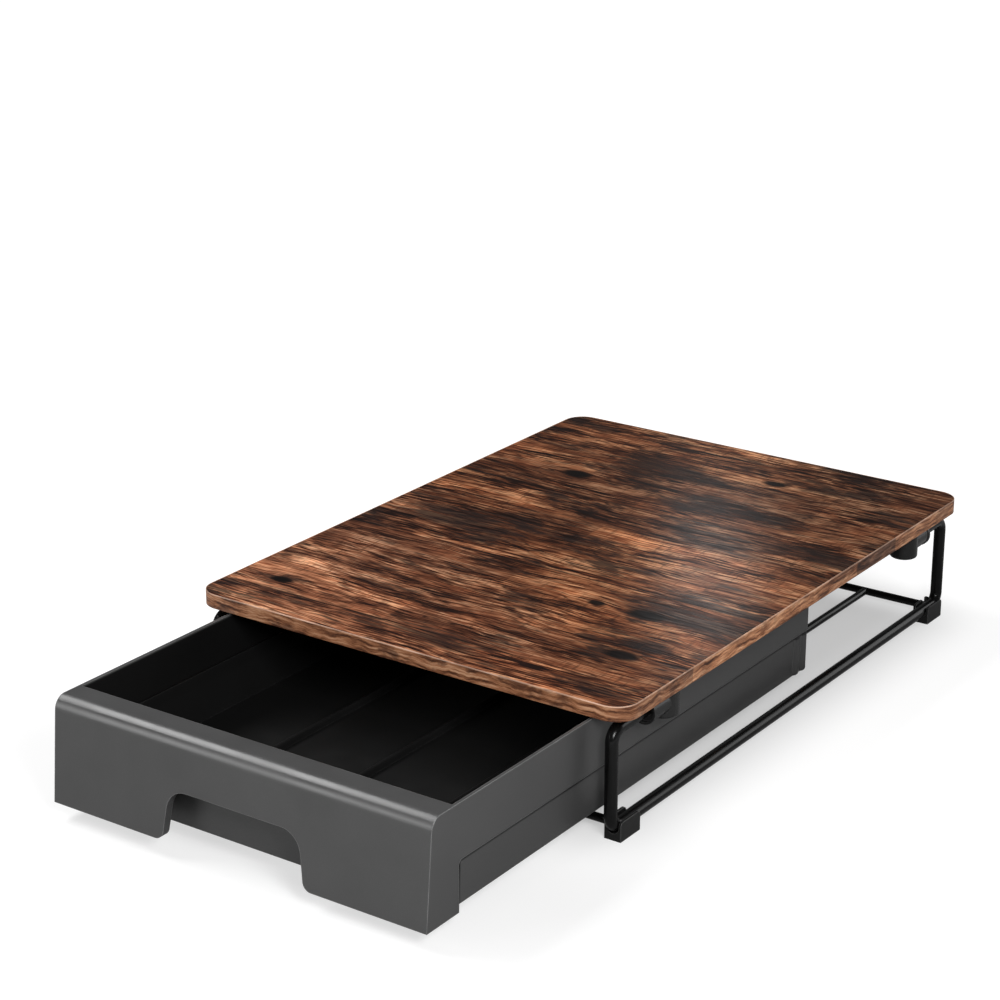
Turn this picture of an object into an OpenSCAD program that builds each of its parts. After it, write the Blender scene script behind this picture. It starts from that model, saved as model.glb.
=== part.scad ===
// Coffee pod drawer: a wood-grain board on a bent steel stand, with a moulded
// pod drawer that slides on two rods under the board. Sizes in millimetres.

/* [Board] */
// Width of the board, side to side
board_w = 340; // [336:1:380]
// Depth of the board, front to back
board_d = 465; // [450:1:520]
// Thickness of the board
board_t = 10; // [8:0.5:14]
// Height from the floor to the top of the board
overall_h = 94; // [94:0.5:110]
// Radius of the board's upright corners
board_corner_r = 16; // [6:1:30]
// Thickness of the edge banding
banding_t = 0.6; // [0.4:0.1:1]

/* [Side frames] */
// Diameter of the bent side frame
tube_d = 8.5; // [7.5:0.5:9]
// Centre-line radius of the frame's bends
bend_r = 8.5; // [7:0.5:12]
// From the board's side edge in to the frame's centre line
frame_inset = 12.8; // [11.5:0.1:13.5]
// From the board's front edge back to the upright's centre line
post_setback = 6.6; // [5:0.2:12]
// Gap between the frame's top arm and the board
arm_gap = 4.7; // [3:0.1:5.5]
// How far the top arm goes into its connector
arm_engage = 13; // [9:0.5:13]

/* [Cross bars and runner rods] */
// Diameter of the cross bars and runner rods
rod_d = 5.6; // [5:0.2:6]
// Height of their centre line above the floor
rod_z = 8.4; // [7.8:0.1:8.4]
// From the upright's centre line back to the cross bar's
bar_setback = 10.2; // [9:0.2:13]
// From the drawer's side in to a runner rod's centre line
runner_inset = 41.5; // [30:0.5:60]

/* [Feet] */
// Width of a foot
foot_w = 12.1; // [11.5:0.1:14]
// Length of a foot
foot_l = 22.4; // [20:0.2:30]
// Height of a foot
foot_h = 13.3; // [11:0.1:13.5]
// Thickness of a foot under the frame
foot_base = 4.8; // [4:0.1:5]
// From the upright's centre line back to the foot's end
foot_setback = 2.5; // [1:0.5:5]
// Radius of a foot's upper corners
foot_round = 2.6; // [1:0.2:4]
// Gap round the cross bar in a foot's notch
notch_gap = 0.3; // [0.2:0.1:0.6]

/* [Connectors] */
// Diameter of a connector's upright boss
boss_d = 20; // [18:0.5:20.5]
// Height of the boss
boss_h = 19.5; // [18.5:0.5:22]
// From the upright's centre line back to the boss
boss_setback = 60; // [52:1:75]
// Diameter of the socket where it meets the boss
socket_d = 17.8; // [15:0.2:17.8]
// Diameter of the socket just behind its collar
neck_d = 16.6; // [13:0.2:17]
// Diameter of the collar round the socket's mouth
collar_d = 17.8; // [15:0.2:17.8]
// Length of the collar
collar_t = 2.2; // [1:0.2:5]
// From the upright's centre line back to the collar's mouth
collar_setback = 35.4; // [32:0.2:38]
// Thickness of the wall round the socket's mouth
mouth_wall = 1.5; // [1:0.1:2.5]
// Depth of the recess in the socket's mouth
mouth_recess = 3; // [1:0.5:5]

/* [Connector screws] */
// Shank diameter of a screw
screw_d = 3.4; // [3:0.1:4]
// Diameter of a screw's head
screw_head_d = 7; // [6:0.2:8]
// Thickness of a screw's head
screw_head_t = 2.4; // [1.6:0.1:3]
// Length of thread in the board
screw_bite = 6.5; // [4:0.5:7]
// Depth of the pocket that a screw's head sits in
head_pocket = 4; // [3:0.5:6]

/* [Drawer] */
// Running gap between the drawer's sides and the connectors
side_clearance = 2.2; // [1:0.1:8]
// Depth of the drawer, measured at its top
drawer_l = 440.5; // [420:0.5:445]
// Radius of the drawer's upright rear corners
drawer_corner_r = 3; // [2.5:0.5:4]
// Gap between the drawer's top and the board
top_clearance = 2.6; // [1:0.1:5]
// Height of the seam between surround and tray
seam_z = 45; // [40:0.5:55]
// Running gap between the skirt and the front cross bar
skirt_clearance = 0.4; // [0.3:0.1:2]
// How far the front leans out from its top to its bottom
front_lean = 6.4; // [0:0.2:10]
// Radius of the front's top edge
front_round = 9; // [4:0.5:12]
// Depth of the flat along the top of the front
panel_depth = 21.6; // [18:0.2:30]
// Depth of the front's side cheeks below the seam
cheek_depth = 25; // [24:0.5:40]
// Wall of the front
front_wall = 2.6; // [2:0.1:3.5]
// Wall of the side and rear bands
band_wall = 2.2; // [1.6:0.1:3]
// Thinner wall of the cheeks and of the band's foot, where the tray laps inside
lap_wall = 1.2; // [1:0.1:1.5]
// How far the drawer stands open, from fully closed
open_now = 160; // [120:1:200]
// Full travel of the drawer, from closed to its stop
full_travel = 250; // [220:1:280]

/* [Handle cut-out] */
// Width of the cut-out at the skirt's lower edge
cut_w_low = 108.4; // [90:0.2:150]
// Width of the cut-out at its top
cut_w_high = 104.4; // [80:0.2:140]
// Height of the cut-out's top above the floor
cut_z = 46.4; // [35:0.2:60]
// Radius of its upper corners
cut_corner_r = 15; // [4:0.5:18]
// Radius where its sides turn into the skirt
cut_flare_r = 6.5; // [3:0.5:10]
// Depth of the rim turned in round the cut-out
cut_rim_depth = 6; // [4:0.2:8]
// Thickness of that rim
cut_rim_t = 2; // [1.2:0.1:3]

/* [Tray] */
// Wall of the tray
tray_wall = 2; // [1.6:0.1:3]
// Height of the tray's underside above its glide strips
tray_lift = 3.3; // [2.5:0.1:5]
// How far the tray's rim laps up behind the band
tray_lap = 6; // [3:0.5:12]
// How far the tray's sides lean out from its underside to its rim
tray_draft = 1; // [0.4:0.1:1.6]
// Height of the shadow groove under the seam
groove_h = 1.3; // [0.8:0.1:2]
// Gap between the tray and the surround
tray_gap = 0.3; // [0.1:0.1:0.6]
// Finger space between the front and the tray
finger_space = 10; // [9:0.5:11]
// Number of lanes for pods
lanes = 4; // [2:1:5]
// Height of the ribs between the lanes
lane_rib_h = 5; // [2:0.5:12]
// Thickness of the ribs between the lanes
lane_rib_t = 3; // [1.6:0.2:5]
// Radius of the half-round ribs at the rear corners
corner_rib_r = 4.6; // [4:0.1:5]
// Centre distance of those ribs
corner_rib_pitch = 9.9; // [9:0.1:14]

/* [Glides] */
// Width of a glide strip
glide_w = 9; // [6:0.5:12]
// Running gap between glide strip and rod
glide_clearance = 0.3; // [0.2:0.1:0.6]
// Gap between a guide rib and the rod's side
guide_clearance = 0.7; // [0.4:0.1:1.2]
// Thickness of a guide rib
guide_t = 2; // [1.4:0.1:3]
// How far a guide rib reaches down from the top of the rod
guide_drop = 4.8; // [3:0.2:5.2]

/* [Hidden] */
$fn = 48;

eps = 0.01;
cut = 1;
fit = 0.1;
stop_gap = 0.5;

// stand, measured from the middle of the board
board_z = overall_h - board_t;
post_x = board_w/2 - frame_inset;
post_y = board_d/2 - post_setback;
rail_z = foot_base + tube_d/2;
arm_z = board_z - arm_gap - tube_d/2;
bar_y = post_y - bar_setback;
drawer_w = 2*(post_x - boss_d/2 - side_clearance);
runner_x = drawer_w/2 - runner_inset;
rod_top = rod_z + rod_d/2;
boss_y = post_y - boss_setback;
collar_y = post_y - collar_setback;
arm_end_y = collar_y - arm_engage;

// drawer at rest, measured from the middle of the board
front_y = -(board_d/2 + open_now);
rear_y = front_y + drawer_l;
drawer_top = board_z - top_clearance;
skirt_z = rod_top + skirt_clearance;
lean_a = atan(front_lean/(drawer_top - skirt_z));
cheek_y = front_y + cheek_depth;
tray_x = drawer_w/2 - lap_wall - tray_gap - tray_draft;
tray_z = rod_top + glide_clearance + tray_lift;
tray_rim = seam_z + tray_lap;
tray_front = front_y + front_wall + finger_space;
tray_rear = rear_y - lap_wall - tray_gap - tray_draft;
stop_y = -bar_y + rod_d/2 + stop_gap + full_travel - open_now;

// origin under the middle of the whole part, drawer open as it stands
reach_front = front_y - front_lean;
part_y = -(reach_front + board_d/2)/2;

// a point on the front's outer face at height z, moved in by d
function face_y(z, d = 0) = front_y - front_lean*(drawer_top - z)/(drawer_top - skirt_z) + d/cos(lean_a);

// points along an arc
function arc(c, r, a0, a1, n = 10) =
    [for (i = [0:n]) let (a = a0 + (a1 - a0)*i/n) c + r*[cos(a), sin(a)]];

// the front's outline from its lower edge up and over the rounded top, moved in by d
function front_outline(d, low) = let (r = front_round - d, zc = drawer_top - front_round)
    concat([[face_y(low, d), low]], arc([face_y(zc, front_round), zc], r, 180 - lean_a, 90));

module place() { translate([0, part_y, 0]) children(); }

// puts children, drawn in the Y-Z plane, upright across the width w
module across(w) { rotate([90, 0, 90]) linear_extrude(w, center = true) children(); }

module rounded_rect(w, d, r) {
    square([w - 2*r, d], center = true);
    square([w, d - 2*r], center = true);
    for (x = [-1, 1], y = [-1, 1]) translate([x*(w/2 - r), y*(d/2 - r)]) circle(r);
}

// ---- board ----

module top_board() {
    core_w = board_w - 2*banding_t;
    core_d = board_d - 2*banding_t;
    color("#6e4a33") place() translate([0, 0, board_z]) difference() {
        linear_extrude(board_t) rounded_rect(core_w, core_d, board_corner_r - banding_t);
        for (x = [-1, 1], y = [-1, 1])
            translate([x*post_x, y*boss_y, -cut]) cylinder(d = screw_d + 2*fit, h = screw_bite + fit + cut);
    }
}

module edge_banding() {
    color("#a9714a") place() translate([0, 0, board_z]) linear_extrude(board_t) difference() {
        rounded_rect(board_w, board_d, board_corner_r);
        rounded_rect(board_w - 2*banding_t, board_d - 2*banding_t, board_corner_r - banding_t);
    }
}

// ---- bent side frames ----

// a quarter bend in the Y-Z plane, its centre at the origin
module bend(from) {
    rotate([90, 0, 90]) rotate([0, 0, from]) rotate_extrude(angle = 90)
        translate([bend_r, 0]) circle(d = tube_d);
}

// half of a frame, from the middle of the rail to the end of the front arm
module half_frame() {
    straight_y = post_y - bend_r;
    translate([0, -straight_y - eps, rail_z]) rotate([-90, 0, 0])
        cylinder(d = tube_d, h = straight_y + 2*eps);
    translate([0, -straight_y, rail_z + bend_r]) bend(180);
    translate([0, -post_y, rail_z + bend_r - eps])
        cylinder(d = tube_d, h = arm_z - rail_z - 2*bend_r + 2*eps);
    translate([0, -straight_y, arm_z - bend_r]) bend(90);
    translate([0, -straight_y - eps, arm_z]) rotate([-90, 0, 0])
        cylinder(d = tube_d, h = straight_y - arm_end_y + eps);
}

module side_frame(side) {
    color("#141414") place() translate([side*post_x, 0, 0]) {
        half_frame();
        mirror([0, 1, 0]) half_frame();
    }
}

module left_side_frame() { side_frame(-1); }
module right_side_frame() { side_frame(1); }

// ---- cross bars and runner rods ----

// the bar's ends are coped to sit against the side frames' rails
module cross_bar(end) {
    color("#161616") place() difference() {
        translate([0, end*bar_y, rod_z]) rotate([0, 90, 0]) cylinder(d = rod_d, h = 2*post_x, center = true);
        for (x = [-1, 1]) translate([x*post_x, 0, rail_z]) rotate([90, 0, 0])
            cylinder(d = tube_d, h = board_d, center = true);
    }
}

module front_cross_bar() { cross_bar(-1); }
module back_cross_bar() { cross_bar(1); }

// the rod's ends are coped to sit against the cross bars
module runner_rod(side) {
    color("#161616") place() difference() {
        translate([side*runner_x, 0, rod_z]) rotate([90, 0, 0])
            cylinder(d = rod_d, h = 2*bar_y, center = true);
        for (y = [-1, 1]) translate([0, y*bar_y, rod_z]) rotate([0, 90, 0])
            cylinder(d = rod_d, h = board_w, center = true);
    }
}

module left_runner_rod() { runner_rod(-1); }
module right_runner_rod() { runner_rod(1); }

// ---- feet ----

// a U-shaped clip pushed up over the rail, notched for the cross bar
module foot(side, end) {
    far_y = post_y - foot_setback;
    near_y = far_y - foot_l;
    slot_w = rod_d + 2*notch_gap;
    color("#262626") place() scale([side, end, 1]) difference() {
        translate([post_x, 0, 0]) across(foot_w) polygon(concat(
            [[near_y, 0]],
            arc([near_y + foot_round, foot_h - foot_round], foot_round, 180, 90, 6),
            arc([far_y - foot_round, foot_h - foot_round], foot_round, 90, 0, 6),
            [[far_y, 0]]));
        translate([post_x, near_y - cut, rail_z]) rotate([-90, 0, 0])
            cylinder(d = tube_d + 2*fit, h = foot_l + 2*cut);
        translate([post_x - tube_d/2 - fit, near_y - cut, rail_z])
            cube([tube_d + 2*fit, foot_l + 2*cut, foot_h]);
        translate([post_x - foot_w/2 - cut, bar_y - slot_w/2, rod_z])
            cube([foot_w/2 + cut, slot_w, foot_h]);
        translate([post_x - foot_w/2 - cut, bar_y, rod_z]) rotate([0, 90, 0])
            cylinder(d = slot_w, h = foot_w/2 + cut);
    }
}

module front_left_foot() { foot(-1, -1); }
module front_right_foot() { foot(1, -1); }
module back_left_foot() { foot(-1, 1); }
module back_right_foot() { foot(1, 1); }

// ---- connectors that hold the frames' top arms to the board ----

// an upright boss and a tapered socket, joined, with a collar round the socket's mouth
module connector(side, end) {
    edge_r = 2;
    bottom_z = board_z - boss_h;
    color("#1c1c1c") place() scale([side, end, 1]) difference() {
        union() {
            translate([post_x, boss_y, bottom_z]) rotate_extrude() polygon(concat(
                [[0, 0]], arc([boss_d/2 - edge_r, edge_r], edge_r, -90, 0, 6),
                [[boss_d/2, boss_h], [0, boss_h]]));
            translate([post_x, boss_y, arm_z]) rotate([-90, 0, 0]) rotate_extrude() polygon([
                [0, 0], [socket_d/2, 0],
                [neck_d/2, collar_y - boss_y - collar_t],
                [collar_d/2, collar_y - boss_y - collar_t],
                [collar_d/2, collar_y - boss_y], [0, collar_y - boss_y]]);
        }
        translate([post_x, arm_end_y - fit, arm_z]) rotate([-90, 0, 0])
            cylinder(d = tube_d + 2*fit, h = collar_setback + arm_engage);
        translate([post_x, collar_y - mouth_recess, arm_z]) rotate([-90, 0, 0])
            cylinder(d = collar_d - 2*mouth_wall, h = mouth_recess + cut);
        translate([post_x, boss_y, bottom_z - cut]) cylinder(d = screw_head_d + 2*cut, h = head_pocket + cut);
        translate([post_x, boss_y, bottom_z]) cylinder(d = screw_d + 2*fit, h = boss_h + cut);
    }
}

module front_left_connector() { connector(-1, -1); }
module front_right_connector() { connector(1, -1); }
module back_left_connector() { connector(-1, 1); }
module back_right_connector() { connector(1, 1); }

// one screw up through each boss into the board
module connector_screws() {
    head_z = board_z - boss_h + head_pocket;
    recess_w = 1;
    color("#9a9a9a") place() for (x = [-1, 1], y = [-1, 1]) translate([x*post_x, y*boss_y, head_z]) {
        cylinder(d = screw_d, h = boss_h - head_pocket + screw_bite);
        difference() {
            translate([0, 0, -screw_head_t]) cylinder(d = screw_head_d, h = screw_head_t);
            for (a = [0, 90]) rotate(a) translate([-screw_head_d/3, -recess_w/2, -screw_head_t - cut])
                cube([2*screw_head_d/3, recess_w, screw_head_t/2 + cut]);
        }
    }
}

// ---- drawer surround: front, side cheeks and the band round the tray ----

// the handle cut-out's outline seen from the front, grown outward by g
module cut_outline(g = 0) {
    low = skirt_z - cut;
    flare = cut_flare_r - g;
    side_a = atan((cut_w_low - cut_w_high)/2/(cut_z - skirt_z));
    half_low = cut_w_low/2 + g;
    half_high = cut_w_high/2 + g;
    r = cut_corner_r + g;
    right = concat(
        arc([half_low + flare, skirt_z + flare], flare, 270, 180 + side_a/2, 6),
        arc([half_high - r, cut_z + g - r], r, side_a, 90, 8));
    polygon(concat([[half_low + flare, low]], right,
        [for (i = [len(right) - 1:-1:0]) [-right[i][0], right[i][1]]],
        [[-half_low - flare, low]]));
}

// the hollow behind the front, with the lip that hangs from its top
module front_hollow() {
    lip_t = 2;
    lip_h = 7;
    lip_y = front_y + panel_depth;
    polygon(concat(
        front_outline(front_wall, skirt_z - cut),
        [[lip_y - lip_t, drawer_top - front_wall], [lip_y - lip_t, drawer_top - lip_h],
         [lip_y, drawer_top - lip_h], [lip_y, drawer_top + cut],
         [cheek_y + cut, drawer_top + cut], [cheek_y + cut, skirt_z - cut]]));
}

module front_shell() {
    lap_top = tray_rim + tray_gap;
    difference() {
        across(drawer_w) polygon(concat(
            front_outline(0, skirt_z), [[cheek_y, drawer_top], [cheek_y, skirt_z]]));
        across(drawer_w - 2*band_wall) front_hollow();
        across(drawer_w - 2*lap_wall) intersection() {
            front_hollow();
            translate([reach_front, 0]) square([drawer_l, lap_top]);
        }
    }
}

// the rim turned in round the cut-out, as thick a slice of the lean as it is deep
module cut_rim() {
    intersection() {
        across(cut_w_low + 4*cut_flare_r) polygon([
            [face_y(skirt_z), skirt_z], [face_y(cut_z + cut_corner_r), cut_z + cut_corner_r],
            [face_y(cut_z + cut_corner_r, cut_rim_depth), cut_z + cut_corner_r],
            [face_y(skirt_z, cut_rim_depth), skirt_z]]);
        translate([0, cheek_y, 0]) rotate([90, 0, 0])
            linear_extrude(2*cheek_depth) cut_outline(cut_rim_t);
    }
}

// a U of wall from the cheeks round the rear
module band_ring(wall) {
    band_l = rear_y - cheek_y;
    spare = 2*drawer_corner_r;
    intersection() {
        translate([0, (rear_y + cheek_y - spare)/2]) difference() {
            rounded_rect(drawer_w, band_l + spare, drawer_corner_r);
            rounded_rect(drawer_w - 2*wall, band_l + spare - 2*wall, drawer_corner_r - wall/2);
        }
        translate([-drawer_w/2, cheek_y - eps]) square([drawer_w, band_l + 2*eps]);
    }
}

// side and rear bands above the seam, rebated inside for the tray's rim, with a
// small fillet where they meet the cheeks
module band() {
    fillet_r = 3.5;
    lap_top = tray_rim + tray_gap;
    translate([0, 0, seam_z]) linear_extrude(lap_top - seam_z + eps) band_ring(lap_wall);
    translate([0, 0, lap_top]) linear_extrude(drawer_top - lap_top) band_ring(band_wall);
    for (x = [-1, 1]) translate([x*(drawer_w - lap_wall)/2, 0, 0]) across(lap_wall) difference() {
        translate([cheek_y - eps, seam_z - fillet_r]) square(fillet_r + eps);
        translate([cheek_y + fillet_r, seam_z - fillet_r]) circle(fillet_r);
    }
}

module drawer_surround() {
    color("#4c4c4c") place() difference() {
        union() {
            front_shell();
            cut_rim();
            band();
        }
        translate([0, cheek_y, 0]) rotate([90, 0, 0]) linear_extrude(2*cheek_depth) cut_outline();
    }
}

// ---- drawer tray ----

// a block whose sides and rear lean out by the draft, moved in by d all round
module drafted(d, low, high) {
    half = tray_x - d;
    front = tray_front + d;
    rear = tray_rear - d;
    intersection() {
        translate([0, board_d, 0]) rotate([90, 0, 0]) linear_extrude(2*board_d) polygon([
            [-half, low], [half, low], [half + tray_draft, high], [-half - tray_draft, high]]);
        across(board_w) polygon([[front, low], [rear, low], [rear + tray_draft, high], [front, high]]);
        translate([0, (front + rear + tray_draft)/2, low]) linear_extrude(high - low)
            rounded_rect(2*(half + tray_draft), rear + tray_draft - front, drawer_corner_r - d/2);
    }
}

// a shadow groove under the seam and behind the cheeks, its corner rounded
module seam_groove() {
    groove_d = 0.2;
    groove_w = 3.2;
    groove_r = 2.5;
    far = rear_y + cut;
    y0 = cheek_y + groove_w;
    z0 = seam_z - groove_h;
    floor_x = tray_x - groove_d;
    for (x = [-1, 1]) translate([x*(floor_x + corner_rib_r/2), 0, 0]) across(corner_rib_r) difference() {
        translate([cheek_y, tray_z - cut]) square([far - cheek_y, seam_z - tray_z + cut]);
        translate([y0, tray_z - 2*cut]) square([far - y0 + cut, z0 - groove_r - tray_z + 2*cut]);
        translate([y0 + groove_r, z0 - 2*groove_r]) square([far - y0, 2*groove_r]);
        translate([y0 + groove_r, z0 - groove_r]) circle(groove_r);
    }
    translate([-tray_x, tray_rear - groove_d, z0]) cube([2*tray_x, tray_draft + cut, groove_h]);
}

// the tray's shell, its front wall carried up to the front's underside
module tray_walls() {
    difference() {
        drafted(0, tray_z, tray_rim);
        drafted(tray_wall, tray_z + tray_wall, tray_rim + tray_wall);
        seam_groove();
    }
    translate([-tray_x + drawer_corner_r, tray_front, tray_z])
        cube([2*(tray_x - drawer_corner_r), tray_wall, drawer_top - front_wall - tray_z]);
}

// low round-topped ribs that keep the pods in their lanes
module lane_ribs() {
    lane_w = 2*(tray_x - tray_wall)/lanes;
    start_y = tray_front + tray_wall/2;
    length = tray_rear - tray_wall/2 - start_y;
    for (i = [1:lanes - 1]) translate([-tray_x + tray_wall + i*lane_w, start_y, tray_z + tray_wall - eps]) {
        translate([-lane_rib_t/2, 0, 0]) cube([lane_rib_t, length, lane_rib_h - lane_rib_t/2 + eps]);
        translate([0, 0, lane_rib_h - lane_rib_t/2]) rotate([-90, 0, 0]) cylinder(d = lane_rib_t, h = length);
    }
}

// two half-round ribs outside each side at the rear, flush with the band above
// and rounded at their lower ends
module corner_ribs() {
    nose = 2.2;
    rib_h = seam_z - tray_gap - tray_z;
    inner_x = tray_x - tray_wall/2;
    for (x = [-1, 1], i = [0, 1]) intersection() {
        translate([x*(drawer_w/2 - corner_rib_r), rear_y - corner_rib_r - i*corner_rib_pitch, tray_z])
            rotate_extrude() polygon(concat([[0, 0]], arc([corner_rib_r - nose, nose], nose, -90, 0, 6),
                [[corner_rib_r, rib_h], [0, rib_h]]));
        translate([x*(inner_x + corner_rib_r), rear_y - board_w/2, tray_z])
            cube([2*corner_rib_r, board_w, board_w], center = true);
    }
}

// strips that ride on the rods, with guide ribs beside them over the rear part;
// the guide ribs' front ends meet the front cross bar at full travel
module glides() {
    guide_x = rod_d/2 + guide_clearance;
    glide_l = tray_rear - tray_front - 2*tray_wall;
    guide_l = tray_rear - tray_wall - stop_y;
    guide_h = guide_drop + glide_clearance + tray_lift;
    for (x = [-1, 1]) translate([x*runner_x, 0, 0]) {
        translate([-glide_w/2, tray_front + tray_wall, rod_top + glide_clearance])
            cube([glide_w, glide_l, tray_lift + eps]);
        for (s = [-1, 1]) translate([s*(guide_x + guide_t/2) - guide_t/2, stop_y, rod_top - guide_drop])
            cube([guide_t, guide_l, guide_h + eps]);
    }
}

module drawer_tray() {
    color("#3c3c3c") place() {
        tray_walls();
        lane_ribs();
        corner_ribs();
        glides();
    }
}

top_board();
edge_banding();
left_side_frame();
right_side_frame();
front_cross_bar();
back_cross_bar();
left_runner_rod();
right_runner_rod();
front_left_foot();
front_right_foot();
back_left_foot();
back_right_foot();
front_left_connector();
front_right_connector();
back_left_connector();
back_right_connector();
connector_screws();
drawer_surround();
drawer_tray();
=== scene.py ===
import bpy
from mathutils import Matrix, Vector


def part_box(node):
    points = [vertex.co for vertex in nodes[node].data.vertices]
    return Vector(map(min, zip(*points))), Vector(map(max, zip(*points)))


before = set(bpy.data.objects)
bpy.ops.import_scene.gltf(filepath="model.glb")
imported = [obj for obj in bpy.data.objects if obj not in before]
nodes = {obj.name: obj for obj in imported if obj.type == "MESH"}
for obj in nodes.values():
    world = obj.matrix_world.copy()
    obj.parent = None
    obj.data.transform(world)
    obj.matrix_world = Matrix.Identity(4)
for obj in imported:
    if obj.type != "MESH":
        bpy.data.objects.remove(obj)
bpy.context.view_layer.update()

# ---------------------------------------------------------------- camera
# Stands in front of the drawer and to its right, and looks down across the
# board to its back left.
CAMERA_AT = (0.90775, -1.33287, 0.73401)
CAMERA_LOOKS = (-0.53919, 0.77004, -0.34104)

camera_data = bpy.data.cameras.new("camera")
camera_data.sensor_width = 36.0
camera_data.lens = 91.85
camera = bpy.data.objects.new("camera", camera_data)
camera.location = CAMERA_AT
camera.rotation_mode = "QUATERNION"
camera.rotation_quaternion = Vector(CAMERA_LOOKS).to_track_quat("-Z", "Y")
bpy.context.scene.collection.objects.link(camera)
bpy.context.scene.camera = camera

# ---------------------------------------------------------------- board
# Particle board faced with a printed rustic laminate: planks across the board,
# brown streaks along them, dark knots and charred patches under satin varnish.
# It lies on the frames' arms and is screwed down from below.
board_lo, board_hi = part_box("edge_banding")
BOARD_Y = (board_lo[1] + board_hi[1]) / 2
BOARD_ARRIS = 0.0005
PLANK_W = 0.1365
FIRST_SEAM = -0.2010
SEAM_HALF_W = 0.0014
SEAM_CORE_HALF_W = 0.0005
STAVES_IN_PLANK = 3.0
LENGTHS_PER_M = 5.5
BEND = 0.015
KNOT_PUSH = 0.7
# each knot's place from the board's middle, and its half length and half width
KNOTS = ((0.1010, -0.0970, 0.0130, 0.0070),
         (0.1236, -0.1611, 0.0120, 0.0062),
         (0.0630, -0.0980, 0.0060, 0.0035),
         (-0.0900, 0.1100, 0.0110, 0.0065),
         (-0.1350, -0.1850, 0.0080, 0.0045),
         (0.0450, 0.1750, 0.0090, 0.0050))
# charred places that do not follow the print's own patches, given in the same way
SMUDGES = ((0.1320, -0.0900, 0.0520, 0.0140),
           (0.1270, -0.1400, 0.0190, 0.0100),
           (0.1500, 0.0590, 0.0380, 0.0150),
           (-0.1100, -0.0200, 0.0400, 0.0170),
           (-0.0500, 0.1600, 0.0450, 0.0160),
           (0.0150, -0.2050, 0.0400, 0.0110))
# the print's browns, from its darkest streaks to its palest
BROWNS = ((0.42, (0.010, 0.004, 0.003)),
          (0.46, (0.060, 0.018, 0.008)),
          (0.50, (0.185, 0.061, 0.027)),
          (0.54, (0.390, 0.152, 0.068)),
          (0.59, (0.700, 0.340, 0.170)))
BATCH_TONES = ((0.0, (0.62, 0.62, 0.66)), (0.5, 1.0), (1.0, (1.30, 1.26, 1.20)))
# painted light and sheen across the board, darker at the back right and paler at the front left
PAINTED_LIGHT_TONES = ((0.05, (0.76, 0.86, 0.98)), (0.60, 0.80), (1.00, (1.42, 1.66, 2.00)))
PALE_TONE = (1.75, 1.55, 1.40)
CHAR = (0.014, 0.010, 0.010)
KNOT_HEART = (0.004, 0.003, 0.003)
GROWTH_LINE = (0.020, 0.009, 0.006)
SAW_MARK = (0.045, 0.018, 0.010)
SEAM = (0.010, 0.006, 0.005)


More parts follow.
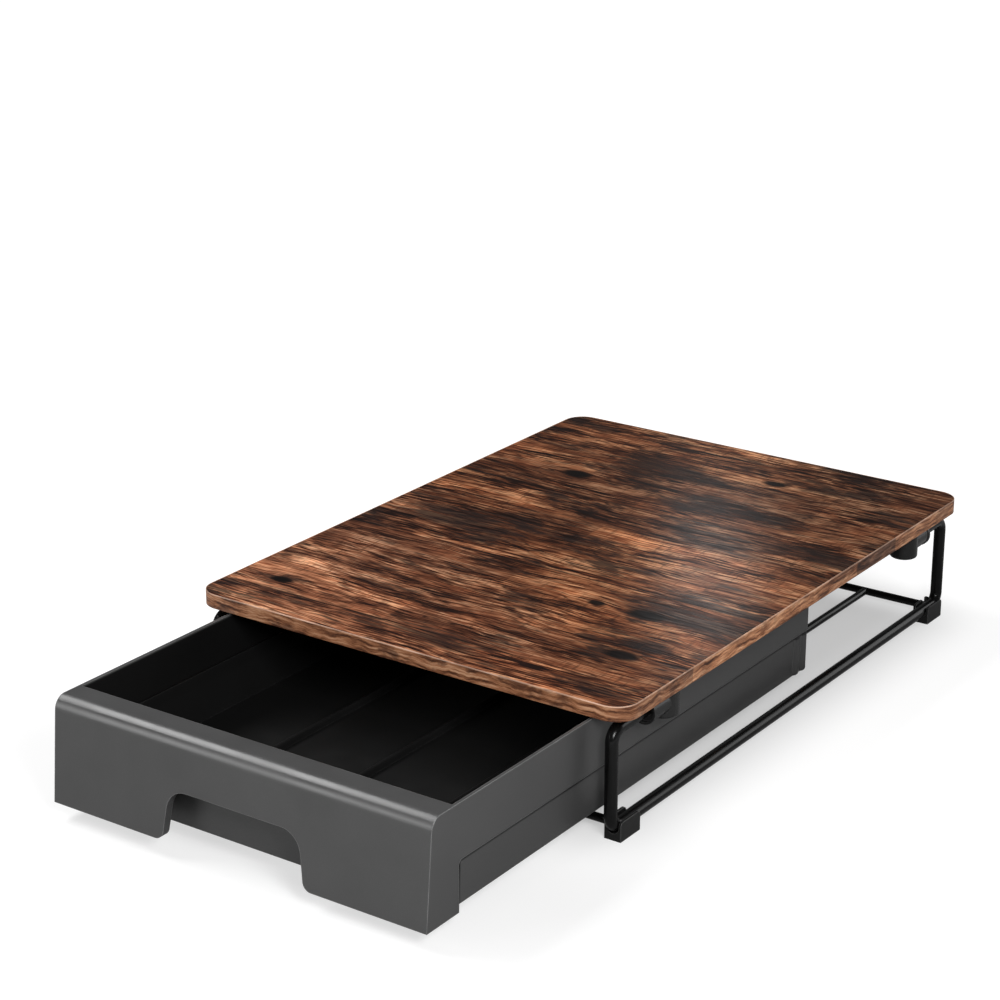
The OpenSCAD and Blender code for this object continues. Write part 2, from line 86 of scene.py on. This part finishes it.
class Finish:
    """A material built up by small calls; numbers, colours and sockets mix freely."""

    def __init__(self, name):
        self.material = bpy.data.materials.new(name)
        self.material.use_nodes = True
        self.tree = self.material.node_tree
        self.tree.nodes.clear()
        self.output = self.tree.nodes.new("ShaderNodeOutputMaterial")
        self.shader = self.tree.nodes.new("ShaderNodeBsdfPrincipled")
        self.put(self.output.inputs["Surface"], self.shader.outputs[0])
        self.place = self.node("ShaderNodeTexCoord").outputs["Object"]

    def put(self, socket, value):
        if isinstance(value, bpy.types.NodeSocket):
            self.tree.links.new(value, socket)
        elif isinstance(value, tuple) and len(value) == 3 and socket.type == "RGBA":
            socket.default_value = (*value, 1.0)
        else:
            socket.default_value = value

    def node(self, kind, *values):
        """A new node, with its first sockets filled in their order."""
        made = self.tree.nodes.new(kind)
        for socket, value in zip(made.inputs, values):
            self.put(socket, value)
        return made

    def math(self, operation, a, b=0.0, c=0.0):
        made = self.node("ShaderNodeMath", a, b, c)
        made.operation = operation
        return made.outputs[0]

    def add(self, a, b):
        return self.math("ADD", a, b)

    def sub(self, a, b):
        return self.math("SUBTRACT", a, b)

    def mul(self, a, b):
        return self.math("MULTIPLY", a, b)

    def least(self, a, b):
        return self.math("MINIMUM", a, b)

    def most(self, a, b):
        return self.math("MAXIMUM", a, b)

    def size_of(self, a):
        return self.math("ABSOLUTE", a)

    def dot(self, a, b):
        made = self.node("ShaderNodeVectorMath", a, b)
        made.operation = "DOT_PRODUCT"
        return made.outputs["Value"]

    def xyz(self):
        split = self.node("ShaderNodeSeparateXYZ", self.place)
        return split.outputs[0], split.outputs[1], split.outputs[2]

    def join(self, x, y, z):
        return self.node("ShaderNodeCombineXYZ", x, y, z).outputs[0]

    def noise(self, at, scale=1.0, detail=4.0, rough=0.55):
        made = self.node("ShaderNodeTexNoise", at)
        self.put(made.inputs["Scale"], scale)
        self.put(made.inputs["Detail"], detail)
        self.put(made.inputs["Roughness"], rough)
        return made.outputs["Fac"]

    def chance(self, at):
        """One random value from 0 to 1 for each place."""
        return self.node("ShaderNodeTexWhiteNoise", at).outputs["Value"]

    def ramp(self, value, stops, kind="LINEAR"):
        made = self.node("ShaderNodeValToRGB", value)
        made.color_ramp.interpolation = kind
        elements = made.color_ramp.elements
        while len(elements) < len(stops):
            elements.new(0.5)
        for element, (position, tone) in zip(elements, stops):
            element.position = position
            element.color = (*tone, 1.0) if isinstance(tone, tuple) else (tone, tone, tone, 1.0)
        return made.outputs["Color"]

    def span(self, value, start, end, at_start=0.0, at_end=1.0):
        """Goes smoothly from one value to another as the first goes from start to end."""
        made = self.node("ShaderNodeMapRange", value, start, end, at_start, at_end)
        made.interpolation_type = "SMOOTHSTEP"
        return made.outputs[0]

    def mix(self, share, below, above, kind="MIX"):
        made = self.node("ShaderNodeMix", share)
        made.data_type = "RGBA"
        made.blend_type = kind
        self.put(made.inputs[6], below)
        self.put(made.inputs[7], above)
        return made.outputs[2]

    def tint(self, colour, by):
        return self.mix(1.0, colour, by, "MULTIPLY")

    def bump(self, height, depth, normal):
        made = self.node("ShaderNodeBump")
        self.put(made.inputs["Height"], height)
        self.put(made.inputs["Distance"], depth)
        self.put(made.inputs["Strength"], 1.0)
        self.put(made.inputs["Normal"], normal)
        return made.outputs[0]

    def soft_edges(self, radius):
        """The shading normal rounded over the edges, and how near an edge is."""
        made = self.node("ShaderNodeBevel", radius)
        made.samples = 8
        flat = self.node("ShaderNodeNewGeometry").outputs["Normal"]
        return made.outputs[0], self.span(self.dot(made.outputs[0], flat), 0.990, 0.900)

    def set(self, **inputs):
        for name, value in inputs.items():
            self.put(self.shader.inputs[name.replace("_", " ")], value)
        return self.material


def dress(material, *names):
    for name in names:
        for slot in nodes[name].material_slots:
            slot.material = material


def grain_top():
    wood = Finish("wood_top")
    x, y, _ = wood.xyz()
    y = wood.sub(y, BOARD_Y)
    across = wood.mul(wood.sub(y, FIRST_SEAM), 1 / PLANK_W)
    plank = wood.math("FLOOR", across)
    shift = wood.mul(wood.chance(wood.join(plank, 3.0, 1.0)), 7.0)
    stave = wood.math("FLOOR", wood.mul(across, STAVES_IN_PLANK))
    start = wood.mul(wood.chance(wood.join(stave, 5.0, 2.0)), 4.0)
    length = wood.math("FLOOR", wood.add(wood.mul(x, LENGTHS_PER_M), start))
    batch = wood.chance(wood.join(stave, length, 7.0))

    def spot(spot_x, spot_y, half_length, half_width):
        """How far off a spot's long axis a point lies, and its squared distance from the
        middle, both in the spot's own half sizes."""
        along = wood.mul(wood.sub(x, spot_x), 1 / half_length)
        off = wood.mul(wood.sub(y, spot_y), 1 / half_width)
        return off, wood.add(wood.mul(along, along), wood.mul(off, off))

    # the grain parts round each knot
    knot = 0.0
    for knot_x, knot_y, half_length, half_width in KNOTS:
        off, far_squared = spot(knot_x, knot_y, half_length, half_width)
        push = wood.math("DIVIDE", off, wood.add(1.0, far_squared))
        y = wood.sub(y, wood.mul(push, KNOT_PUSH * half_width))
        knot = wood.most(knot, wood.span(far_squared, 2.1, 0.4))
    # and it waves slowly along the planks
    wave = wood.noise(wood.join(wood.mul(x, 9.0), wood.mul(y, 14.0), shift), 1.0, 2.0, 0.5)
    y = wood.add(y, wood.mul(wood.sub(wave, 0.5), BEND))

    def streak(length, width, detail, rough, seed):
        at = wood.join(wood.mul(x, 1 / length), wood.mul(y, 1 / width), wood.add(shift, seed))
        return wood.noise(at, 1.0, detail, rough)

    broad = streak(0.100, 0.0140, 3.0, 0.50, 0.0)
    fine = streak(0.036, 0.0020, 1.0, 0.50, 9.0)
    hair = streak(0.014, 0.0011, 1.0, 0.50, 17.0)
    patch = streak(0.060, 0.0300, 4.0, 0.60, 31.0)
    tone = wood.add(wood.mul(broad, 0.34), wood.add(wood.mul(fine, 0.40), wood.mul(hair, 0.26)))
    # the figure is strong in some places and calm in others; towards the front left it is also calmed, a
    # painted sheen washing out the grain there
    to_front_left = wood.add(0.5, wood.add(wood.mul(x, -1.2), wood.mul(y, -1.6)))
    figure = wood.span(streak(0.070, 0.0260, 2.0, 0.5, 57.0), 0.36, 0.62, 0.62, 1.28)
    figure = wood.mul(figure, wood.span(to_front_left, 0.55, 1.00, 1.00, 0.74))
    tone = wood.add(wood.mul(wood.sub(tone, 0.5), figure), 0.5)
    colour = wood.tint(wood.ramp(tone, BROWNS), wood.ramp(batch, BATCH_TONES))
    # painted light: the colour is made paler and greyer towards the front left and darker towards the back
    # right, standing in for the fall of the light and a sheen on the varnish
    colour = wood.tint(colour, wood.ramp(to_front_left, PAINTED_LIGHT_TONES))

    # growth lines, strong in places and gone in others
    rings = wood.math("FRACT", wood.add(wood.mul(y, 120.0), wood.mul(broad, 8.0)))
    line = wood.span(wood.size_of(wood.sub(rings, 0.5)), 0.33, 0.47)
    line = wood.mul(line, wood.span(streak(0.060, 0.0200, 3.0, 0.6, 43.0), 0.40, 0.58))
    colour = wood.mix(wood.mul(line, 0.80), colour, GROWTH_LINE)

    # charred and pale patches, with the streaks showing through
    through = wood.mul(wood.sub(fine, 0.5), 0.80)
    patchy = wood.add(patch, through)
    charred = wood.span(patchy, 0.55, 0.66)
    for smudge in SMUDGES:
        _, far_squared = spot(*smudge)
        ragged = wood.add(far_squared, wood.mul(through, -6.0))
        charred = wood.most(charred, wood.span(ragged, 1.5, 0.2))
    colour = wood.mix(wood.mul(charred, 0.88), colour, CHAR)
    pale = wood.span(patchy, 0.46, 0.36)
    colour = wood.mix(wood.mul(pale, 0.60), colour, wood.tint(colour, PALE_TONE))
    saw = wood.noise(wood.join(wood.mul(x, 420.0), wood.mul(y, 60.0), shift), 1.0, 3.0)
    sawn = wood.mul(wood.span(saw, 0.54, 0.66), wood.span(patch, 0.56, 0.42, 0.10, 0.50))
    colour = wood.mix(sawn, colour, SAW_MARK)
    colour = wood.mix(wood.mul(knot, 0.98), colour, KNOT_HEART)

    # seams between planks, dark lines that fade in and out
    into_plank = wood.sub(across, plank)
    from_seam = wood.mul(wood.least(into_plank, wood.sub(1.0, into_plank)), PLANK_W)
    seam = wood.span(from_seam, SEAM_HALF_W, SEAM_CORE_HALF_W)
    fade = wood.span(wood.noise(wood.join(wood.mul(x, 14.0), plank, 2.0), 1.0, 2.0), 0.30, 0.60)
    colour = wood.mix(wood.mul(wood.mul(seam, fade), 0.90), colour, SEAM)
    normal, _ = wood.soft_edges(BOARD_ARRIS)
    return wood.set(Base_Color=colour, Roughness=wood.span(tone, 0.38, 0.62, 0.27, 0.20),
                    Specular_IOR_Level=0.06, Normal=wood.bump(fine, 0.00009, normal))


dress(grain_top(), "top_board")

# ---------------------------------------------------------------- edge banding
# A thin strip of the same print glued round the board's edge, more orange, with
# stripes along it. It is printed in lengths that change tone abruptly, and a painted
# highlight lays a pale line along its upper arris, where the edge would catch the light.
BOARD_FRONT = board_lo[1]
BOARD_DEPTH = board_hi[1] - board_lo[1]
BOARD_TOP = board_hi[2]
BAND_BROWNS = ((0.36, (0.055, 0.018, 0.008)),
               (0.44, (0.260, 0.095, 0.040)),
               (0.52, (0.560, 0.245, 0.115)),
               (0.64, (0.900, 0.520, 0.300)))
# how dull each length is, from the share of the board's depth where it starts
BAND_LENGTHS = ((0.000, 0.50), (0.171, 0.00), (0.517, 0.15), (0.644, 0.80), (0.769, 0.00))
DULL_TONE = (0.24, 0.23, 0.26)
ARRIS_HIGHLIGHT = (0.80, 0.52, 0.38)


def grain_edge():
    wood = Finish("wood_edge")
    x, y, z = wood.xyz()
    wave = wood.sub(wood.noise(wood.join(wood.mul(x, 30.0), wood.mul(y, 30.0), 0.0), 1.0, 4.0, 0.6), 0.5)
    waved_z = wood.add(z, wood.mul(wave, 0.010))

    def stripe(length, width, detail, rough):
        at = wood.join(wood.mul(x, 1 / length), wood.mul(y, 1 / length), wood.mul(waved_z, 1 / width))
        return wood.noise(at, 1.0, detail, rough)

    bands = stripe(0.032, 0.0026, 6.0, 0.72)
    blot = stripe(0.026, 0.0120, 4.0, 0.65)
    colour = wood.ramp(bands, BAND_BROWNS)
    along = wood.mul(wood.sub(y, BOARD_FRONT), 1 / BOARD_DEPTH)
    dull = wood.ramp(along, BAND_LENGTHS, "CONSTANT")
    dull = wood.add(dull, wood.mul(wood.span(blot, 0.50, 0.62), 0.45))
    colour = wood.mix(wood.least(dull, 1.0), colour, wood.tint(colour, DULL_TONE))
    # painted highlight: a pale line along the upper arris
    arris = wood.span(z, BOARD_TOP - 0.0009, BOARD_TOP - 0.0003)
    colour = wood.mix(wood.mul(arris, wood.span(blot, 0.35, 0.60, 0.90, 0.40)), colour, ARRIS_HIGHLIGHT)
    normal, _ = wood.soft_edges(BOARD_ARRIS)
    return wood.set(Base_Color=colour, Roughness=wood.span(bands, 0.35, 0.65, 0.50, 0.36),
                    Specular_IOR_Level=0.28, Normal=wood.bump(bands, 0.00014, normal))


dress(grain_edge(), "edge_banding")


# ---------------------------------------------------------------- steel stand
# Two bent tube frames with round bars and runner rods welded between them, all
# powder coated in gloss black. The coat has a faint orange peel, and it is a
# little duller where it lies thin.
def powder_coat():
    coat = Finish("black_tube")
    peel = coat.noise(coat.place, 700.0, 3.0, 0.5)
    cloud = coat.noise(coat.place, 38.0, 3.0, 0.6)
    colour = coat.ramp(cloud, ((0.35, 0.0030), (0.65, 0.0050)))
    normal, _ = coat.soft_edges(0.0003)
    return coat.set(Base_Color=colour, Roughness=coat.span(cloud, 0.3, 0.7, 0.18, 0.25),
                    Specular_IOR_Level=0.24, Normal=coat.bump(peel, 0.000015, normal))


dress(powder_coat(), "left_side_frame", "right_side_frame", "front_cross_bar", "back_cross_bar",
      "left_runner_rod", "right_runner_rod")

# ---------------------------------------------------------------- feet
# Matt black plastic feet, moulded with a slot that clips up over the end of a
# frame's rail.
# near black, used only for painted shade
PAINTED_SHADE_BLACK = (0.006, 0.006, 0.006)


def moulded(name, dark, light, rough, gloss, tooth_scale, tooth_depth, edge_radius, edge_glint, shade=None):
    """Moulded plastic with a fine tooth, a painted highlight along its edges and, where shade says so,
    painted shade in near black.
    """
    plastic = Finish(name)
    tooth = plastic.noise(plastic.place, tooth_scale, 3.0, 0.6)
    cloud = plastic.noise(plastic.place, 30.0, 3.0, 0.55)
    mottle = plastic.add(plastic.mul(cloud, 0.4), plastic.mul(tooth, 0.6))
    colour = plastic.ramp(mottle, ((0.36, dark), (0.64, light)))
    normal, edge = plastic.soft_edges(edge_radius)
    # painted highlight: a paler, patchy line along the edges
    glint = plastic.mul(edge, plastic.span(cloud, 0.30, 0.60, 0.5, 1.0))
    colour = plastic.mix(glint, colour, (edge_glint, edge_glint, edge_glint))
    if shade:
        # painted shade: near black where shade gives it a share
        colour = plastic.mix(shade(plastic), colour, PAINTED_SHADE_BLACK)
    satin = plastic.span(cloud, 0.3, 0.7, rough - 0.04, rough + 0.04)
    return plastic.set(Base_Color=colour, Roughness=satin, Specular_IOR_Level=gloss,
                       Normal=plastic.bump(tooth, tooth_depth, normal))


feet = moulded("foot_plastic", dark=0.008, light=0.013, rough=0.40, gloss=0.30, tooth_scale=1600.0,
               tooth_depth=0.00003, edge_radius=0.0007, edge_glint=0.120)
dress(feet, "front_left_foot", "front_right_foot", "back_left_foot", "back_right_foot")

# ---------------------------------------------------------------- connectors
# Smoother moulded plastic, black: each takes the end of a frame's arm and is
# held up under the board by one screw.
fittings = moulded("fitting_plastic", dark=0.012, light=0.018, rough=0.22, gloss=0.35, tooth_scale=1100.0,
                   tooth_depth=0.00001, edge_radius=0.0005, edge_glint=0.060)
dress(fittings, "front_left_connector", "front_right_connector", "back_left_connector",
      "back_right_connector")


# ---------------------------------------------------------------- screws
# Zinc-plated pan-head screws, driven up through the connectors into the board,
# with faint turning marks.
def zinc():
    plate = Finish("zinc_steel")
    x, y, z = plate.xyz()
    rings = plate.join(plate.mul(x, 300.0), plate.mul(y, 300.0), plate.mul(z, 5000.0))
    turned = plate.noise(rings, 1.0, 3.0)
    colour = plate.ramp(turned, ((0.3, (0.34, 0.34, 0.33)), (0.7, (0.56, 0.56, 0.55))))
    normal, _ = plate.soft_edges(0.0002)
    return plate.set(Base_Color=colour, Metallic=1.0, Roughness=plate.span(turned, 0.3, 0.7, 0.29, 0.44),
                     Normal=plate.bump(turned, 0.00003, normal))


dress(zinc(), "connector_screws")

# ---------------------------------------------------------------- drawer
# Injection-moulded plastic in two parts, the surround with the front and the
# tray that laps inside it; both are dark grey with a fine even satin finish.
# Painted shade makes them near black inside, and a painted shadow makes the
# seam between them, and the tray's edge behind each cheek, a dark line.
_, surround_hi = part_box("drawer_surround")
tray_lo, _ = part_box("drawer_tray")
TRAY_FRONT = tray_lo[1]
SEAM_BOTTOM = 0.0424
CHEEK_SEAM_Y = TRAY_FRONT + 0.0144
CHEEK_SEAM_HALF = 0.0018
SEAM_FADE = 0.0005
SKIN = 0.0010
TRAY_WALL = 0.0020
TRAY_FLOOR = 0.0090
SHADE_FADE = 0.0006


def inside(plastic):
    """How far inside the drawer's walls a point lies, past its outer skin."""
    x, y, z = plastic.xyz()
    deep = plastic.sub(surround_hi[0] - SKIN, plastic.size_of(x))
    deep = plastic.least(deep, plastic.sub(surround_hi[1] - SKIN, y))
    deep = plastic.least(deep, plastic.sub(y, TRAY_FRONT - SKIN))
    return plastic.least(deep, plastic.sub(surround_hi[2] - SKIN, z))


def surround_shade(plastic):
    """Painted shade, near black, on the surround's inner side."""
    return plastic.mul(plastic.span(inside(plastic), 0.0, SHADE_FADE), 0.96)


def tray_shade(plastic):
    """Painted shade, near black, in the tray, and painted shadow in its lap with the surround and behind
    the cheeks.
    """
    _, y, z = plastic.xyz()
    behind_front = plastic.span(y, TRAY_FRONT + 0.0005, TRAY_FRONT + 0.0015)
    # painted shadow: dark lines under the surround's lap and behind each cheek
    lap = plastic.mul(plastic.span(z, SEAM_BOTTOM - SEAM_FADE, SEAM_BOTTOM), behind_front)
    off_cheek = plastic.size_of(plastic.sub(y, CHEEK_SEAM_Y))
    cheek_lap = plastic.span(off_cheek, CHEEK_SEAM_HALF + SEAM_FADE, CHEEK_SEAM_HALF)
    # painted shade: near black inside the tray's walls above its floor
    above_floor = plastic.sub(z, tray_lo[2] + TRAY_FLOOR)
    within = plastic.least(plastic.sub(inside(plastic), TRAY_WALL), above_floor)
    hollow = plastic.span(within, 0.0, SHADE_FADE)
    return plastic.most(plastic.mul(plastic.most(lap, cheek_lap), 0.92), plastic.mul(hollow, 0.90))


surround = moulded("drawer_grey", dark=0.057, light=0.067, rough=0.32, gloss=0.50, tooth_scale=1400.0,
                   tooth_depth=0.00001, edge_radius=0.0010, edge_glint=0.200, shade=surround_shade)
dress(surround, "drawer_surround")
tray = moulded("tray_grey", dark=0.053, light=0.063, rough=0.33, gloss=0.42, tooth_scale=1400.0,
               tooth_depth=0.00001, edge_radius=0.0008, edge_glint=0.160, shade=tray_shade)
dress(tray, "drawer_tray")

# ---------------------------------------------------------------- floor
# A plain sheet of white paper that keeps the object's shadow. What the camera
# and the glossy surfaces see of it is topped up to white, except under the stand,
# where the top-up is held low as painted shade.
FLOOR_SIZE = 30.0
UNDER_HALF_W = 0.120
UNDER_HALF_D = 0.190
FADE_OUT = 0.090
PAINTED_SHADE_TOP_UP = 0.40
DRAWER_WHITE = 0.63
BESIDE_WHITE = 0.80
DRAWER_FLOOR_Y = -0.24
BESIDE_FLOOR_Y = -0.06
TOP_UP_FROM = 0.5
SEEN_WHITE_FROM = 1.4
MIRRORED_WHITE_FROM = 2.0
PAPER = ((0.3, 0.42), (0.7, 0.44))

bpy.ops.mesh.primitive_plane_add(size=FLOOR_SIZE, location=(0.0, 0.0, 0.0))
floor = bpy.context.active_object
floor.name = "floor"
paper = Finish("floor_paper")
floor_x, floor_y, _ = paper.xyz()
far = paper.math("SQRT", paper.add(paper.mul(floor_x, floor_x), paper.mul(floor_y, floor_y)))
aside = paper.most(paper.sub(paper.size_of(floor_x), UNDER_HALF_W), 0.0)
along = paper.most(paper.sub(paper.size_of(paper.sub(floor_y, BOARD_Y)), UNDER_HALF_D), 0.0)
out_from_stand = paper.math("SQRT", paper.add(paper.mul(aside, aside), paper.mul(along, along)))
beside_white = paper.span(floor_y, DRAWER_FLOOR_Y, BESIDE_FLOOR_Y, DRAWER_WHITE, BESIDE_WHITE)
# painted shade: the top-up is held low under the stand
top_up_and_painted_shade = paper.span(out_from_stand, 0.0, FADE_OUT, PAINTED_SHADE_TOP_UP, beside_white)
horizon_white = paper.span(far, TOP_UP_FROM, SEEN_WHITE_FROM, 0.0, 1.0)
mirrored_white = paper.span(far, TOP_UP_FROM, MIRRORED_WHITE_FROM, 0.05, 1.0)
path = paper.node("ShaderNodeLightPath")
to_camera = paper.mul(path.outputs["Is Camera Ray"], paper.most(top_up_and_painted_shade, horizon_white))
to_gloss = paper.mul(path.outputs["Is Glossy Ray"], mirrored_white)
paper_white = paper.set(Base_Color=paper.ramp(paper.noise(paper.place, 1.5, 3.0), PAPER), Roughness=0.8,
                        Specular_IOR_Level=0.0, Emission_Color=(1.0, 1.0, 1.0),
                        Emission_Strength=paper.most(to_camera, to_gloss))
# from below the paper is clear, so that the underside can be looked at
from_below = paper.node("ShaderNodeNewGeometry").outputs["Backfacing"]
clear = paper.node("ShaderNodeBsdfTransparent").outputs[0]
sided = paper.node("ShaderNodeMixShader", from_below, paper.shader.outputs[0], clear)
paper.put(paper.output.inputs["Surface"], sided.outputs[0])
floor.data.materials.append(paper_white)


# ---------------------------------------------------------------- lights and sky
# Large soft boxes overhead, in front and behind, a small one from the right and
# a faint one that puts a sheen on the varnish. The sky is dim, and only the
# camera sees it white.
def panel(name, at, aim, width, height, watts):
    """A soft box facing the point it is aimed at, its width level."""
    lamp = bpy.data.lights.new(name, "AREA")
    lamp.shape = "RECTANGLE"
    lamp.size = width
    lamp.size_y = height
    lamp.energy = watts
    back = (Vector(at) - Vector(aim)).normalized()
    side = (Vector((1.0, 0.0, 0.0)) - back * back.x).normalized()
    box = bpy.data.objects.new(name, lamp)
    box.location = at
    box.rotation_mode = "QUATERNION"
    box.rotation_quaternion = Matrix((side, back.cross(side), back)).transposed().to_quaternion()
    bpy.context.scene.collection.objects.link(box)


panel("overhead", at=(-1.15, -0.35, 1.60), aim=(0.0, -0.3, 0.08), width=0.7, height=1.2, watts=25.0)
panel("front", at=(-1.50, -2.2, 0.75), aim=(0.0, -0.3, 0.05), width=1.5, height=1.2, watts=25.5)
panel("right", at=(0.80, -0.72, 0.66), aim=(0.1, -0.25, 0.05), width=0.35, height=0.35, watts=8.2)
panel("back", at=(1.40, 2.10, 0.75), aim=(0.15, 0.0, 0.01), width=2.0, height=1.1, watts=14.0)
panel("sheen", at=(-0.407, 0.947, 0.504), aim=(0.098, 0.060, 0.094), width=0.10, height=0.08, watts=0.13)

SKY_LIGHT = 0.10
world = bpy.data.worlds.new("world")
world.use_nodes = True
sky = world.node_tree
background = sky.nodes["Background"]
seen = sky.nodes.new("ShaderNodeLightPath").outputs["Is Camera Ray"]
strength = sky.nodes.new("ShaderNodeMath")
strength.operation = "MAXIMUM"
strength.inputs[1].default_value = SKY_LIGHT
sky.links.new(seen, strength.inputs[0])
sky.links.new(strength.outputs[0], background.inputs["Strength"])
background.inputs["Color"].default_value = (1.0, 1.0, 1.0, 1.0)
bpy.context.scene.world = world
bpy.context.scene.view_settings.view_transform = "Standard"
